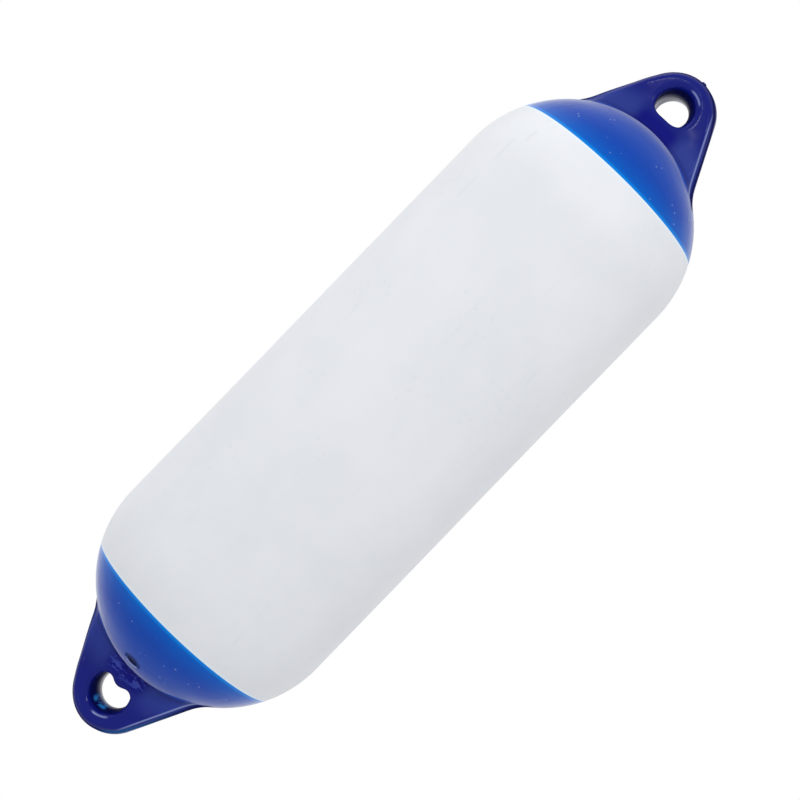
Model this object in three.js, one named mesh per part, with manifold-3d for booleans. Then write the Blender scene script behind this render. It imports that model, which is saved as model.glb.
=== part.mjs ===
// An inflatable boat fender: a white vinyl body with a moulded rope eye at each end.
// Millimetres. +Z runs along the fender, the origin is at its middle, the eye holes run along Y.

import * as THREE from 'three';
import Module from 'manifold-3d';
import { LoftGeometry } from 'three/addons/geometries/LoftGeometry.js';
import { mergeVertices } from 'three/addons/utils/BufferGeometryUtils.js';

const wasm = await Module();
wasm.setup();

// Body
const bodyDiameter = 150;
const straightLength = 285;   // cylinder between the centres of the two round ends
const skin = 4.5;             // wall of the inflated vinyl
const shoulder = 33.5;        // how far the white skin wraps onto each round end
const seamGap = 0.3;          // weld line between the white skin and a blue end

// Blue ends
const crownWall = 11;         // vinyl under the lug, at the crown
const eyeAboveCrown = 17.7;   // centre of the eye hole above the crown
const tipRadius = 24.6;       // rounded tip of the lug, about the eye hole
const flankAngle = 26;        // degrees between a flank and the fender's axis
const flankFillet = 35;       // flank to round end
const lugThickness = 32;
const lugEdge = 3.5;          // rounding round the rim of the lug
const rootFillet = 8;         // flat of the lug to round end
const filletDip = 0.3;        // the fillets end this far under the round end, clear of its facets

// Eye hole, round with a flat towards the body
const eyeRadius = 11.6;
const eyeFlat = 8.6;          // centre to flat
const eyeCorner = 4;          // where the flat meets the round
const eyeRim = 3.4;           // rounding of both mouths

// Moulding gates, left on the tips
const gateHeight = 0.9;
const upperGateDiameter = 3.5;
const lowerGateDiameter = 10;

// Inflation valve, in the lower end
const valveAngle = 29;        // degrees from the fender's axis, towards -Y
const valveFit = 0.3;         // clearance round and between the valve's pieces
const flangeDiameter = 11.5;
const flangeThickness = 1.3;
const stemDiameter = 7.6;
const stemLength = 13;        // from the flange's top to the stem's end
const bossDiameter = 15;      // vinyl left round the stem
const bossEnd = 14.5;         // depth of the boss below the outer surface
const screwHeadDiameter = 6;
const screwHeadThickness = 1.3;
const screwShankDiameter = 3.4;
const screwLength = 10;
const slotWidth = 1.1;
const slotDepth = 0.7;
const gasketThickness = 0.7;
const valveChamfer = 0.3;

// Fineness of the round surfaces
const ringSegments = 48;
const smallSegments = 24;
const domeSteps = 10;
const shoulderSteps = 5;
const roundingSteps = 3;
const faceSteps = 10;
const tipSteps = 8;
const rootStep = 2.2;

// Sizes that follow
const bodyRadius = bodyDiameter / 2;
const innerRadius = bodyRadius - skin;
const seatRadius = bodyRadius - filletDip;
const endCentre = straightLength / 2;
const eyeHeight = bodyRadius + eyeAboveCrown;
const tipHeight = eyeHeight + tipRadius;
const halfThickness = lugThickness / 2;
const flankTilt = THREE.MathUtils.degToRad(flankAngle);
const valveTilt = THREE.MathUtils.degToRad(valveAngle);

const white = new THREE.MeshStandardMaterial({ color: 0xe6e8ec, roughness: 0.38, metalness: 0 });
const blue = new THREE.MeshStandardMaterial({ color: 0x16268c, roughness: 0.3, metalness: 0 });
const darkBlue = new THREE.MeshStandardMaterial({ color: 0x101c66, roughness: 0.4, metalness: 0 });
const black = new THREE.MeshStandardMaterial({ color: 0x15161a, roughness: 0.6, metalness: 0 });

// Solids and meshes

function toSolid(geometry) {
  const bare = new THREE.BufferGeometry().copy(geometry);
  bare.deleteAttribute('normal');
  bare.deleteAttribute('uv');
  const welded = mergeVertices(bare);
  const corners = welded.index.array;
  const kept = [];
  for (let i = 0; i < corners.length; i += 3) {
    const [a, b, c] = corners.subarray(i, i + 3);
    if (a !== b && b !== c && c !== a) kept.push(a, b, c);
  }
  return new wasm.Manifold(new wasm.Mesh({
    numProp: 3,
    vertProperties: welded.attributes.position.array,
    triVerts: new Uint32Array(kept),
  }));
}

function toMesh(name, solid, material) {
  const { vertProperties, triVerts } = solid.getMesh();
  const geometry = new THREE.BufferGeometry();
  geometry.setAttribute('position', new THREE.BufferAttribute(vertProperties, 3));
  geometry.setIndex(new THREE.BufferAttribute(triVerts, 1));
  geometry.computeVertexNormals();
  const mesh = new THREE.Mesh(geometry, material);
  mesh.name = name;
  return mesh;
}

// A profile of [radius, height] points, turned about Z
function turned(profile, segments) {
  const points = profile.map(([radius, height]) => new THREE.Vector2(radius, height));
  return new THREE.LatheGeometry(points, segments).rotateX(Math.PI / 2);
}

// Points [x, y] along an arc, both ends included
function arcPoints(centre, radius, from, to, steps) {
  const points = [];
  for (let i = 0; i <= steps; i++) {
    const angle = THREE.MathUtils.lerp(from, to, i / steps);
    points.push([centre[0] + radius * Math.cos(angle), centre[1] + radius * Math.sin(angle)]);
  }
  return points;
}

// White body: a tube whose ends curve in to the weld lines

function bodyShell() {
  const seam = shoulder - seamGap;
  const outerTop = arcPoints([0, endCentre], bodyRadius, 0, Math.asin(seam / bodyRadius), shoulderSteps);
  const innerTop = arcPoints([0, endCentre], innerRadius, 0, Math.asin(seam / innerRadius), shoulderSteps);
  const mirrored = (points) => points.map(([radius, height]) => [radius, -height]).reverse();
  const outer = [...mirrored(outerTop), ...outerTop];
  const inner = [...mirrored(innerTop), ...innerTop].reverse();
  return toMesh('body_shell', toSolid(turned([...outer, ...inner, outer[0]], ringSegments)), white);
}

// Blue end, drawn with the centre of its round end at the origin and the lug towards +Z

function domeSolid() {
  const rim = Math.asin(shoulder / bodyRadius);
  const arc = arcPoints([0, 0], bodyRadius, rim, Math.PI / 2, domeSteps);
  arc[domeSteps] = [0, bodyRadius];
  return toSolid(turned([[0, shoulder], ...arc], ringSegments));
}

// The space inside: the skin thickens towards the crown
function chamberSolid() {
  const rim = Math.asin(shoulder / innerRadius);
  const points = [];
  for (let i = 0; i <= domeSteps; i++) {
    const share = i / domeSteps;
    const angle = THREE.MathUtils.lerp(rim, Math.PI / 2, share);
    const radius = bodyRadius - THREE.MathUtils.lerp(skin, crownWall, share ** 2);
    points.push([radius * Math.cos(angle), radius * Math.sin(angle)]);
  }
  points[domeSteps] = [0, bodyRadius - crownWall];
  const mouth = shoulder - skin;
  return toSolid(turned([[0, mouth], [points[0][0], mouth], ...points], ringSegments));
}

// Outline of the lug in the XZ plane: round tip, straight flanks, then a fillet onto the round end.
// The fillet's centre lies along the flank's normal (across) and up the flank (along).
const across = eyeHeight * Math.sin(flankTilt) + tipRadius + flankFillet;
const along = Math.sqrt((seatRadius + flankFillet) ** 2 - across ** 2);
const filletX = across * Math.cos(flankTilt) - along * Math.sin(flankTilt);
const filletZ = across * Math.sin(flankTilt) + along * Math.cos(flankTilt);
const roundFrom = eyeHeight + tipRadius * Math.sin(flankTilt);
const filletTop = filletZ - flankFillet * Math.sin(flankTilt);
const filletFoot = filletZ * seatRadius / (seatRadius + flankFillet);

function halfWidth(z) {
  if (z >= roundFrom) return Math.sqrt(tipRadius ** 2 - (z - eyeHeight) ** 2);
  if (z >= filletTop) {
    return (tipRadius + (eyeHeight - z) * Math.sin(flankTilt)) / Math.cos(flankTilt);
  }
  const height = Math.max(z, filletFoot);
  return filletX - Math.sqrt(flankFillet ** 2 - (height - filletZ) ** 2);
}

// How far a point inside the outline lies from it
function outlineDistance(x, z) {
  const side = Math.abs(x);
  const up = z - eyeHeight;
  if (up * Math.cos(flankTilt) > side * Math.sin(flankTilt)) return tipRadius - Math.hypot(side, up);
  const overFillet = (z - filletZ) * Math.cos(flankTilt) - (side - filletX) * Math.sin(flankTilt);
  if (overFillet < 0) return Math.hypot(side - filletX, z - filletZ) - flankFillet;
  return tipRadius - side * Math.cos(flankTilt) - up * Math.sin(flankTilt);
}

// Half thickness of the lug at a point: flat, rounded at the rim, and flared into the round end.
// The flare is a fillet that runs round the Y axis, so it depends on the distance from the centre.
const flareStart = Math.sqrt((seatRadius + rootFillet) ** 2 - (halfThickness + rootFillet) ** 2);
const flareEnd = flareStart * seatRadius / (seatRadius + rootFillet);

function lugHalfThickness(x, z) {
  const inFlare = flareStart - THREE.MathUtils.clamp(Math.hypot(x, z), flareEnd, flareStart);
  const flare = rootFillet - Math.sqrt(rootFillet ** 2 - inFlare ** 2);
  const fromFlat = Math.max(0, lugEdge - outlineDistance(x, z));
  const rounding = lugEdge - Math.sqrt(Math.max(0, lugEdge ** 2 - fromFlat ** 2));
  return halfThickness + flare - rounding;
}

function lugSection(z) {
  const width = halfWidth(z);
  const inset = Math.min(lugEdge, width / 2);
  const fromEdge = [];
  for (let i = 0; i < roundingSteps; i++) {
    fromEdge.push(width - inset * (1 - Math.cos(i / roundingSteps * Math.PI / 2)));
  }
  const stations = [...fromEdge];
  for (let i = 0; i <= faceSteps; i++) {
    stations.push(THREE.MathUtils.lerp(width - inset, inset - width, i / faceSteps));
  }
  stations.push(...fromEdge.map((x) => -x).reverse());
  const back = stations.map((x) => new THREE.Vector3(x, lugHalfThickness(x, z), z));
  const front = back.map((point) => new THREE.Vector3(-point.x, -point.y, z));
  return [...back, ...front];
}

function lugSolid() {
  const heights = [shoulder + skin];
  const rootSteps = Math.ceil((flareStart + rootStep - filletFoot) / rootStep) + 2;
  for (let i = 0; i < rootSteps; i++) heights.push(filletFoot + (i - 2) * rootStep);
  const top = heights[heights.length - 1];
  for (let i = 1; i < roundingSteps; i++) heights.push(THREE.MathUtils.lerp(top, roundFrom, i / roundingSteps));
  for (let i = 0; i < tipSteps; i++) {
    const angle = THREE.MathUtils.lerp(flankTilt, Math.PI / 2, i / (tipSteps - 0.5));
    heights.push(eyeHeight + tipRadius * Math.sin(angle));
  }
  return toSolid(new LoftGeometry(heights.map(lugSection), { capStart: true, capEnd: true }));
}

// The eye hole's outline grown by some amount, at one place along Y
function eyeSection(growth, y) {
  const radius = eyeRadius + growth;
  const corner = eyeCorner + growth;
  const cornerZ = corner - eyeFlat - growth;
  const cornerX = Math.sqrt((radius - corner) ** 2 - cornerZ ** 2);
  const turn = Math.atan2(cornerZ, cornerX);
  const contour = [
    ...arcPoints([cornerX, cornerZ], corner, -Math.PI / 2, turn, roundingSteps),
    ...arcPoints([0, 0], radius, turn, Math.PI - turn, smallSegments).slice(1),
    ...arcPoints([-cornerX, cornerZ], corner, Math.PI - turn, Math.PI * 1.5, roundingSteps).slice(1),
  ];
  return contour.map(([x, z]) => new THREE.Vector3(x, y, eyeHeight + z));
}

// Cuts the eye and rounds both of its mouths
function eyeCutter() {
  const clear = halfThickness + rootFillet;
  const mouth = [[eyeRim, clear]];
  for (let i = 0; i <= roundingSteps + 1; i++) {
    const angle = i / (roundingSteps + 1) * Math.PI / 2;
    mouth.push([eyeRim * (1 - Math.sin(angle)), halfThickness - eyeRim * (1 - Math.cos(angle))]);
  }
  const through = [...mouth, ...mouth.map(([growth, y]) => [growth, -y]).reverse()];
  const sections = through.map(([growth, y]) => eyeSection(growth, y));
  return toSolid(new LoftGeometry(sections, { capStart: true, capEnd: true }));
}

function gateSolid(diameter) {
  const root = lugEdge;
  const stub = new THREE.CylinderGeometry(diameter / 2, diameter / 2, root + gateHeight, smallSegments);
  stub.rotateX(Math.PI / 2).translate(0, 0, tipHeight + (gateHeight - root) / 2);
  return toSolid(stub);
}

function eyeEndSolid(gateDiameter) {
  return domeSolid()
    .add(lugSolid())
    .add(gateSolid(gateDiameter))
    .subtract(chamberSolid())
    .subtract(eyeCutter());
}

// Valve: drawn with its axis along Z and the outer surface of the fender at z = 0

function atValve(object) {
  const outward = new THREE.Vector3(0, -Math.sin(valveTilt), Math.cos(valveTilt));
  const move = new THREE.Matrix4().makeRotationX(valveTilt).setPosition(outward.multiplyScalar(bodyRadius));
  object.applyMatrix4(move);
  return object;
}

function bossSolid() {
  const height = bossEnd - skin / 2;
  const boss = new THREE.CylinderGeometry(bossDiameter / 2, bossDiameter / 2, height, smallSegments);
  boss.rotateX(Math.PI / 2).translate(0, 0, -(bossEnd + skin / 2) / 2);
  return toSolid(atValve(boss));
}

function valveSeatCutter() {
  const stem = stemDiameter / 2 + valveFit;
  const flange = flangeDiameter / 2 + valveFit;
  const seat = -flangeThickness - valveFit;
  const below = -bossEnd - skin;
  const seatCut = turned([[0, below], [stem, below], [stem, seat], [flange, seat], [flange, skin], [0, skin]],
    smallSegments);
  return toSolid(atValve(seatCut));
}

const pocketDepth = screwHeadThickness + gasketThickness + 2 * valveFit;

function valveBody() {
  const stem = stemDiameter / 2;
  const flange = flangeDiameter / 2;
  const bore = screwShankDiameter / 2 + valveFit;
  const pocket = screwHeadDiameter / 2 + valveFit;
  const profile = [
    [bore, -stemLength], [stem - valveChamfer, -stemLength], [stem, -stemLength + valveChamfer],
    [stem, -flangeThickness], [flange, -flangeThickness], [flange, -valveChamfer],
    [flange - valveChamfer, 0], [pocket, 0], [pocket, -pocketDepth], [bore, -pocketDepth],
    [bore, -stemLength],
  ];
  return toMesh('valve_body', toSolid(turned(profile, smallSegments)), darkBlue);
}

function valveGasket() {
  const inner = screwShankDiameter / 2 + valveFit;
  const outer = screwHeadDiameter / 2;
  const middle = -pocketDepth + valveFit + gasketThickness / 2;
  const tube = gasketThickness / 2;
  const profile = [
    ...arcPoints([outer - tube, middle], tube, -Math.PI / 2, Math.PI / 2, roundingSteps),
    ...arcPoints([inner + tube, middle], tube, Math.PI / 2, Math.PI * 1.5, roundingSteps),
  ];
  return toMesh('valve_gasket', toSolid(turned([...profile, profile[0]], smallSegments)), black);
}

function valveScrew() {
  const shank = screwShankDiameter / 2;
  const head = screwHeadDiameter / 2;
  const under = -screwHeadThickness;
  const profile = [
    [0, under - screwLength], [shank - valveChamfer, under - screwLength],
    [shank, under - screwLength + valveChamfer], [shank, under], [head, under], [head, -valveChamfer],
    [head - valveChamfer, 0], [0, 0],
  ];
  const slot = new THREE.BoxGeometry(screwHeadDiameter + 1, slotWidth, 2 * slotDepth);
  return toMesh('valve_screw', toSolid(turned(profile, smallSegments)).subtract(toSolid(slot)), darkBlue);
}

// Assembly

const upperEnd = new THREE.Group();
upperEnd.position.z = endCentre;
upperEnd.add(toMesh('upper_eye_end', eyeEndSolid(upperGateDiameter), blue));

const lowerSolid = eyeEndSolid(lowerGateDiameter).add(bossSolid()).subtract(valveSeatCutter());
const valve = atValve(new THREE.Group());
valve.add(valveBody(), valveGasket(), valveScrew());

const lowerEnd = new THREE.Group();
lowerEnd.position.z = -endCentre;
lowerEnd.rotation.y = Math.PI;
lowerEnd.add(toMesh('lower_eye_end', lowerSolid, blue), valve);

const group = new THREE.Group();
group.add(bodyShell(), upperEnd, lowerEnd);

export default group;
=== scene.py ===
"""Boat fender with an inflated white body, blue moulded eye ends and an inflation valve. All in metres."""

import itertools
import math

import bmesh
import bpy
import numpy as np
from bpy.props import FloatProperty, FloatVectorProperty, PointerProperty
from mathutils import Matrix, Vector


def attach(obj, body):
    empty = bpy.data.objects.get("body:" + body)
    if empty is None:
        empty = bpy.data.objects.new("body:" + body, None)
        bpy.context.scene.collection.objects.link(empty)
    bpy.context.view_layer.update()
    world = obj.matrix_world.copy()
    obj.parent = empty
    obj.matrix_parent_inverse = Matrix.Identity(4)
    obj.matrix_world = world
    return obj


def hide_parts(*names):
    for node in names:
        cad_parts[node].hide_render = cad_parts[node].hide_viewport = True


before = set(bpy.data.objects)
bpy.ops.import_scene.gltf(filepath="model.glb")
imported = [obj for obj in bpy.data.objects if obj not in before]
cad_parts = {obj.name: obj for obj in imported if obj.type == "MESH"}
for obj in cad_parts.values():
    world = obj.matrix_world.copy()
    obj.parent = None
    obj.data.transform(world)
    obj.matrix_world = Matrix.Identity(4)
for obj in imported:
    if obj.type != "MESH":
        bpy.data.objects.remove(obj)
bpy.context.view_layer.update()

bl_info = {
    "name": "Boat Fender",
    "version": (1, 0, 0),
    "blender": (4, 5, 0),
    "location": "3D View > Sidebar > Fender",
    "description": "Builds an inflatable boat fender with moulded rope eyes",
    "category": "Object",
}

BODY = "root"
MM = 0.001
MICRON = 1e-6
ON_AXIS = 1e-7
TINY = 1e-9


def length(name, description, default):
    """A size in metres."""
    return FloatProperty(
        name=name, description=description, default=default, min=0, unit="LENGTH", precision=5
    )


def offset(name, description, default):
    """A move to the side and up, in metres."""
    return FloatVectorProperty(name=name, description=description, default=default, size=2, unit="LENGTH")


def angle(name, description, degrees):
    """An angle, given in degrees."""
    return FloatProperty(name=name, description=description, default=math.radians(degrees), subtype="ANGLE")


def power(name, default):
    """The power of a lamp."""
    return FloatProperty(name=name, description=f"Power of the {name.lower()} lamp in watts", default=default)


def colour(name, description, default):
    """A linear colour."""
    return FloatVectorProperty(
        name=name, description=description, default=default, subtype="COLOR", size=3, min=0, max=1
    )


# Sizes and colours


class BodySizes(bpy.types.PropertyGroup):
    """The white body and the round ends that it shares with the blue caps."""

    radius: length("Radius", "Outer radius of the body and of its round ends", 0.075)
    end_centre: length("End centre", "Middle of the fender to the centre of a round end", 0.1425)
    skin: length("Skin", "Wall of the inflated vinyl", 0.0045)
    shoulder: length("Shoulder", "How far the white skin wraps onto a round end", 0.0335)
    weld: length("Weld", "Width of the weld line between white and blue", 0.00002)
    lip: length("Lip", "Rounding of the skin at the weld line", 0.0001)
    ripple: length("Ripple", "Deepest unevenness of the inflated skin", 0.00022)


class EyeSizes(bpy.types.PropertyGroup):
    """The blue caps with their lugs and eyes."""

    crown_wall: length("Crown wall", "Vinyl under the lug at the crown", 0.011)
    height: length("Height", "Centre of the eye above the centre of the round end", 0.0927)
    tip: length("Tip", "Radius of the lug's tip about the eye", 0.0246)
    flank: angle("Flank", "Angle between a flank and the fender's axis", 26)
    flank_fillet: length("Flank fillet", "Radius from a flank to the round end", 0.035)
    half_thickness: length("Half thickness", "Half the thickness of the lug", 0.016)
    tip_draft: length("Tip draft", "How much shorter the tip is at the faces", 0.003)
    draft: length("Draft", "How much narrower the flanks are at the faces", 0.0004)
    bevel: length("Bevel", "Width of the rim's bevel at the tip", 0.0026)
    root_bevel: length("Root bevel", "Width of the bevel at the root of the flanks", 0.0044)
    bevel_depth: length("Bevel depth", "Depth of the bevel through the lug", 0.0042)
    edge: length("Edge", "Rounding of the bevel's edges", 0.0014)
    root: length("Root", "Fillet from the lug's faces to the round end, under the eye", 0.0030)
    flank_root: length("Flank root", "Fillet from the lug's faces to the round end, at the flanks", 0.009)
    web: length("Web", "How much thicker each face is at the root of the flanks", 0.0030)
    hollow: length("Hollow", "Depth of the hollow between the eye and the round end", 0.0003)
    lower_lumps: length("Lower lumps", "Unevenness of the hollow over the lower eye", 0.0005)
    upper_hole: length("Upper hole", "Radius of the upper eye at its faces", 0.0119)
    lower_hole: length("Lower hole", "Radius of the lower eye at its faces", 0.0126)
    hole_flat: length("Hole flat", "Centre of the eye to its flat side", 0.0093)
    hole_corner: length("Hole corner", "Rounding where the flat of the eye meets its round", 0.004)
    mouth: length("Mouth", "Rounding of both mouths of the eye", 0.0034)
    hole_draft: length("Hole draft", "How much narrower the eye is at its middle than at its faces", 0.0015)
    upper_bulge: length("Upper bulge", "How far the flat side bulges into the upper eye", 0.0006)
    lower_bulge: length("Lower bulge", "How far the flat side bulges into the lower eye", 0.0034)
    upper_throat: offset("Upper throat", "How far the middle of the upper eye is moved", (-0.0020, -0.0012))
    lower_throat: offset("Lower throat", "How far the middle of the lower eye is moved", (0.0, -0.0026))
    upper_gate_height: length("Upper gate height", "Height of the trimmed gate on the upper tip", 0.0009)
    lower_trim: length("Lower trim", "How much is trimmed flat off the lower tip", 0.0014)
    upper_gate: length("Upper gate", "Radius of the upper cap's gate", 0.00175)
    grid: length("Grid", "Distance between the points of the caps' meshes", 0.00088)


class ValveSizes(bpy.types.PropertyGroup):
    """The valve insert, its ring and its screw plug."""

    tilt: angle("Tilt", "Angle between the valve and the fender's axis", 29)
    fit: length("Fit", "Clearance round and between the valve's pieces", 0.0003)
    flange: length("Flange", "Radius of the insert's flange", 0.00575)
    flange_thickness: length("Flange thickness", "Thickness of the insert's flange", 0.0013)
    stem: length("Stem", "Radius of the insert's stem", 0.0038)
    stem_length: length("Stem length", "From the flange's top to the stem's end", 0.013)
    boss: length("Boss", "Radius of the vinyl left round the stem", 0.0075)
    boss_depth: length("Boss depth", "Depth of the boss below the outer surface", 0.0145)
    head: length("Head", "Radius of the screw's head", 0.003)
    head_thickness: length("Head thickness", "Thickness of the screw's head", 0.0013)
    shank: length("Shank", "Radius of the screw's shank", 0.0017)
    shank_length: length("Shank length", "Length of the screw under its head", 0.010)
    slot: length("Slot", "Width of the screw's slot", 0.0011)
    slot_depth: length("Slot depth", "Depth of the screw's slot", 0.0007)
    ring: length("Ring", "Thickness of the sealing ring", 0.0007)


class Finishes(bpy.types.PropertyGroup):
    """The colours of the fender."""

    white: colour("White", "White vinyl", (0.80, 0.82, 0.86))
    # Painted light: a pale cyan glow on the white vinyl at the weld line.
    white_weld_glow: colour("White edge", "White vinyl where it thins out at the weld line", (0.78, 0.90, 0.98))
    # Also used for the painted shade that darkens the body towards its lower end.
    white_shade: colour("White shade", "White vinyl where it is handled and dull", (0.72, 0.745, 0.79))
    # Painted light: these two blues stand in for light that comes through the vinyl near the weld line.
    blue_lit_near_weld: colour("Thin blue", "Near the weld line, lit through", (0.0, 0.145, 0.62))
    blue_lit_at_weld: colour("Edge blue", "Right at the weld line", (0.0, 0.24, 0.78))
    blue: colour("Blue", "Over the round end", (0.004, 0.058, 0.41))
    blue_solid: colour("Solid blue", "Lug, too thick for light", (0.006, 0.011, 0.19))
    # Painted reflection: a lighter blue at the root of the flanks.
    blue_flank_reflection: colour("Web blue", "Root of the flanks", (0.022, 0.042, 0.27))
    # Painted shade: the hollow under the eye made darker.
    blue_hollow_shade: colour("Hollow blue", "Hollow under the eye", (0.001, 0.003, 0.20))
    blue_wrinkle_glint: colour("Wrinkle blue", "Lit sides of the wrinkles over the lower eye", (0.055, 0.090, 0.46))
    # Painted highlight along the flank's edge and on the eye's mouth.
    blue_highlight: colour("Line blue", "Polished edge along the flank of the lug", (0.30, 0.37, 0.68))
    # Painted light on the lower eye's wall and on the lower lug's underside.
    blue_lit: colour("Lit blue", "Wall of the lower eye where light comes through", (0.030, 0.26, 0.72))
    # Painted shade: the rim of the lug and the wall of the eye made near black.
    blue_rim_shade: colour("Rim blue", "Rim of the lug and wall of the eye", (0.003, 0.005, 0.09))
    dust: colour("Dust", "Specks on the blue vinyl", (0.30, 0.38, 0.62))
    valve: colour("Valve", "Insert of the valve", (0.006, 0.028, 0.19))
    # Painted highlight on the edge of the insert's flange.
    valve_highlight: colour("Valve edge", "Worn edge of the insert's flange", (0.50, 0.58, 0.88))
    screw: colour("Screw", "Screw of the valve", (0.002, 0.006, 0.06))
    rubber: colour("Rubber", "Sealing ring", (0.02, 0.02, 0.023))
    floor: colour("Floor", "Studio floor", (0.88, 0.88, 0.88))


class StageSizes(bpy.types.PropertyGroup):
    """The camera, the lamps and the floor."""

    camera_distance: length("Camera distance", "From the camera to the fender's axis", 1.072)
    lens: FloatProperty(name="Lens", description="Focal length in millimetres", default=82.4)
    azimuth: angle("Azimuth", "How far the camera stands round the fender", 8.5)
    roll: angle("Roll", "Lean of the fender in the picture", 44.1)
    move_right: FloatProperty(name="Right", description="Camera moved right", default=0.00299, unit="LENGTH")
    move_up: FloatProperty(name="Up", description="Camera moved up", default=0.0020, unit="LENGTH")
    floor_drop: length("Floor drop", "Floor below the middle of the fender", 0.52)
    ambient: FloatProperty(name="Ambient", description="Strength of the light from all round", default=0.68)
    key: power("Key", 2.9)
    side: power("Side", 9.0)
    fill: power("Fill", 5.3)
    rim: power("Rim", 0.5)
    low: power("Low", 0.3)


# Shader building


class Value:
    """A socket of a finish. Sums and products of values add Math nodes."""

    def __init__(self, finish, socket):
        self.finish = finish
        self.socket = socket

    def maths(self, operation, *terms):
        return self.finish.node("ShaderNodeMath", {"operation": operation}, dict(enumerate(terms)))

    def __add__(self, other):
        return self.maths("ADD", self, other)

    __radd__ = __add__

    def __sub__(self, other):
        return self.maths("SUBTRACT", self, other)

    def __rsub__(self, other):
        return self.maths("SUBTRACT", other, self)

    def __mul__(self, other):
        return self.maths("MULTIPLY", self, other)

    __rmul__ = __mul__

    def __truediv__(self, other):
        return self.maths("DIVIDE", self, other)

    def __rtruediv__(self, other):
        return self.maths("DIVIDE", other, self)

    def __abs__(self):
        return self.maths("ABSOLUTE", self)

    def highest(self, other):
        return self.maths("MAXIMUM", self, other)

    def root(self):
        return self.maths("SQRT", self)

    def between(self, low, high):
        """0 below low, 1 above high, smooth between them."""
        sockets = {"Value": self, "From Min": low, "From Max": high}
        return self.finish.node("ShaderNodeMapRange", {"interpolation_type": "SMOOTHSTEP"}, sockets)

    def fades(self, low, high):
        """1 below low, 0 above high, smooth between them."""
        return 1 - self.between(low, high)

    def band(self, start, full, still_full, end):
        """1 in a band and 0 outside it, smooth at both sides."""
        return self.between(start, full) * self.fades(still_full, end)


def hypotenuse(first, second):
    """How far off a place is, by two of its parts."""
    return (first * first + second * second).root()


class Finish:
    """A node tree under construction, of a material or of the world."""

    def __init__(self, owner):
        self.owner = owner
        owner.use_nodes = True
        self.tree = owner.node_tree
        self.tree.nodes.clear()

    def node(self, kind, settings=None, sockets=None, output=0):
        """Adds a node: its settings first, then the values or links of its sockets."""
        node = self.tree.nodes.new(kind)
        for name, value in (settings or {}).items():
            setattr(node, name, value)
        for name, value in (sockets or {}).items():
            if isinstance(value, Value):
                self.tree.links.new(value.socket, node.inputs[name])
            else:
                node.inputs[name].default_value = value
        return Value(self, node.outputs[output])

    def place(self):
        """The place on the object, in metres."""
        return self.node("ShaderNodeTexCoord", output="Object")

    def split(self, vector):
        """The three parts of a vector."""
        parts = self.node("ShaderNodeSeparateXYZ", sockets={"Vector": vector})
        return [Value(self, socket) for socket in parts.socket.node.outputs]

    def vector(self, operation, *terms, output=0):
        return self.node("ShaderNodeVectorMath", {"operation": operation}, dict(enumerate(terms)), output)

    def noise(self, vector, scale, detail=2.0, roughness=0.5):
        sockets = {"Vector": vector, "Scale": scale, "Detail": detail, "Roughness": roughness}
        return self.node("ShaderNodeTexNoise", sockets=sockets)

    def streaks(self, vector, scales, detail, roughness=0.5):
        """Noise with a scale for each direction."""
        return self.noise(self.vector("MULTIPLY", vector, scales), 1.0, detail, roughness)

    def cells(self, vector, scale):
        """How far the nearest of many scattered points is."""
        sockets = {"Vector": vector, "Scale": scale, "Randomness": 1.0}
        return self.node("ShaderNodeTexVoronoi", {"feature": "F1"}, sockets)

    def blend(self, factor, first, second):
        """One colour into another. Each is a value or a property."""
        first, second = (part if isinstance(part, Value) else (*part, 1.0) for part in (first, second))
        sockets = {0: factor, 6: first, 7: second}
        return self.node("ShaderNodeMix", {"data_type": "RGBA"}, sockets, output=2)

    def bump(self, height, distance, under=None):
        sockets = {"Height": height, "Distance": distance, "Strength": 1.0}
        if under:
            sockets["Normal"] = under
        return self.node("ShaderNodeBump", sockets=sockets)

    def plastic(self, base, roughness, normal, ior_level, sheen=0.0):
        """A shader of plain plastic."""
        sockets = {"Base Color": base, "Roughness": roughness, "Normal": normal}
        sockets.update({"Specular IOR Level": ior_level, "Sheen Weight": sheen, "Sheen Roughness": 0.30})
        return self.node("ShaderNodeBsdfPrincipled", sockets=sockets)

    def mix(self, factor, first, second):
        """One shader into another."""
        return self.node("ShaderNodeMixShader", sockets={0: factor, 1: first, 2: second})

    def done(self, shader, kind="ShaderNodeOutputMaterial"):
        """Links the shader to the material or world, and gives that back."""
        node = self.tree.nodes.new(kind)
        self.tree.links.new(shader.socket, node.inputs["Surface"])
        return self.owner


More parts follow.
